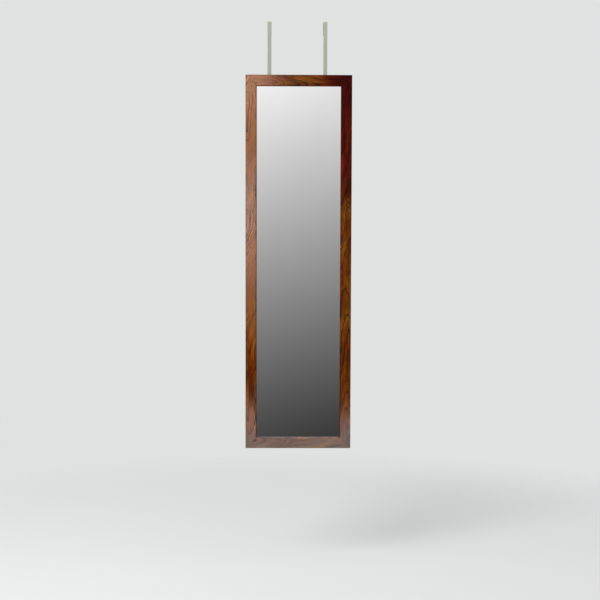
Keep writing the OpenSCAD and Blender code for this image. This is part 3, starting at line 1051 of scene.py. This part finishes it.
def add_world():
    """A plain pale backdrop to the eye, a soft fill for the surfaces, and a surround for
    reflections."""
    world = bpy.data.worlds.new("studio")
    bpy.context.scene.world = world
    world.use_nodes = True
    tree = world.node_tree
    g = Graph(tree)
    x, _, z = g.split(g.add("ShaderNodeTexCoord").outputs["Generated"])
    surround = surround_light(g, x, z)
    path = g.add("ShaderNodeLightPath").outputs
    seen = g.math("MAXIMUM", path["Is Camera Ray"], path["Is Transmission Ray"])
    fill = g.mix(g.span(z, -1.0, 1.0), FILL_BELOW, FILL_ABOVE)
    shade = g.mix(path["Is Glossy Ray"], fill, surround)
    g.feed(tree.nodes["Background"].inputs[0], g.mix(seen, shade, BACKDROP))
    tree.nodes["Background"].inputs[1].default_value = 1.0


# ---------- lamps ----------

SHEEN_SPREAD = radians(60)
SHEEN_DEPTH = 2.5
# the tall panel's brightness from its foot at 0 to its head at 1: dim at the foot, with a bar
TALL_LEVELS = ((0.04, 0.0), (0.15, 0.11), (0.25, 0.34), (0.35, 0.66), (0.43, 0.87), (0.50, 0.92),
               (0.57, 0.78), (0.66, 0.26), (0.73, 0.24), (0.82, 0.52), (0.90, 0.73), (0.95, 0.8))
# and its brightness across, from one share of its width to the other
ACROSS_FROM, ACROSS_TO = 0.25, 0.6
ACROSS_BRIGHT, ACROSS_DIM = 1.38, 0.75


def add_panel(name, centre, way, size, radiance, colour=(1, 1, 1), lean=0.0):
    """A rectangular soft light that faces way. Its power follows from its face's radiance."""
    data = bpy.data.lights.new(name, "AREA")
    data.shape = "RECTANGLE"
    data.size, data.size_y = size
    data.energy = radiance * pi * size[0] * size[1]
    data.color = colour
    lamp = bpy.data.objects.new(name, data)
    bpy.context.scene.collection.objects.link(lamp)
    turn = Vector(way).to_track_quat("-Z", "Y")
    aim = turn.to_matrix().to_4x4() @ Matrix.Rotation(lean, 4, "Z")
    lamp.matrix_world = Matrix.Translation(centre) @ aim
    lamp.visible_camera = False
    return lamp


def add_sheen_panel(name, centre, way, size, radiance, colour, pieces, lean=0.0, levels=None):
    """A panel whose only work is the sheen on pieces, and only on paths that have met few
    surfaces. levels are (height, level) stops of its brightness; a panel that has them also
    dims across its width."""
    lamp = add_panel(name, centre, way, size, radiance, colour, lean)
    lamp.data.spread = SHEEN_SPREAD
    lamp.visible_diffuse = False
    lit = bpy.data.collections.new(name + "_lit")
    for piece in pieces:
        lit.objects.link(piece)
    lamp.light_linking.receiver_collection = lit
    lamp.data.use_nodes = True
    g = Graph(lamp.data.node_tree)
    depth = g.add("ShaderNodeLightPath").outputs["Ray Depth"]
    strength = g.math("LESS_THAN", depth, SHEEN_DEPTH)
    if levels:
        across, height, _ = g.split(g.add("ShaderNodeNewGeometry").outputs["Parametric"])
        level = g.ramp(height, [(place, grey(level)) for place, level in levels])
        dimming = g.span(across, ACROSS_FROM, ACROSS_TO, ACROSS_BRIGHT, ACROSS_DIM)
        strength = g.times(strength, g.times(level, dimming))
    g.feed(lamp.data.node_tree.nodes["Emission"].inputs["Strength"], strength)


def add_lamps(rails):
    """A key light, and three panels that make the sheen on the foil and on the lower ledge."""
    key_at = Vector((-2.2, -3.0, 1.6))
    key_aim = Vector((0, 0, -0.8))
    key = add_panel("key_panel", key_at, key_aim - key_at, size=(2.2, 2.2), radiance=7.5)
    key.visible_glossy = False
    foil = rails.values()
    add_sheen_panel("window_panel", centre=(-0.1715, -0.6, -0.635), way=(0, 1, 0.02),
                    size=(0.177, 1.15), radiance=5.2, colour=(1, 1, 1), pieces=foil,
                    levels=TALL_LEVELS)
    add_sheen_panel("low_panel", centre=(0, -0.375, -1.566), way=(0, 1, 0.17),
                    size=(0.52, 0.22), radiance=3.1, colour=(0.78, 0.95, 1.12), pieces=foil,
                    lean=radians(-4.5))
    add_sheen_panel("ledge_panel", centre=(0, -0.14, -0.95), way=(0, 0, -1),
                    size=(0.32, 0.24), radiance=13, colour=(0.62, 0.98, 1.25),
                    pieces=[rails["bottom_rail"]])


# ---------- the scene ----------

bpy.context.scene.view_settings.view_transform = "Standard"
bright_steel = plated_steel("bright_steel", rgb(0.60, 0.60, 0.58), line_cells=(2600, 2600, 2600),
                            roughness=0.30, depth=0.003 * MM)
strap_steel = plated_steel("strap_steel", rgb(0.565, 0.592, 0.497), line_cells=(4200, 4200, 35),
                           roughness=0.35, depth=0.006 * MM)
pad_foam = cell_foam("pad_foam", grey(0.050), grey(0.075), cell=0.5 * MM)
bumper_rubber = cell_foam("bumper_rubber", grey(0.030), grey(0.048), cell=0.35 * MM)

add_camera()
rails = make_rails()
make_sheets()
paint(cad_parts["corner_v_nails"], bright_steel)
make_retainer_points(bright_steel)
make_hooks(strap_steel)
make_pads(pad_foam)
make_hook_fasteners(bright_steel, turned_brass())
make_bumpers(bumper_rubber)
add_floor()
add_world()
add_lamps(rails)
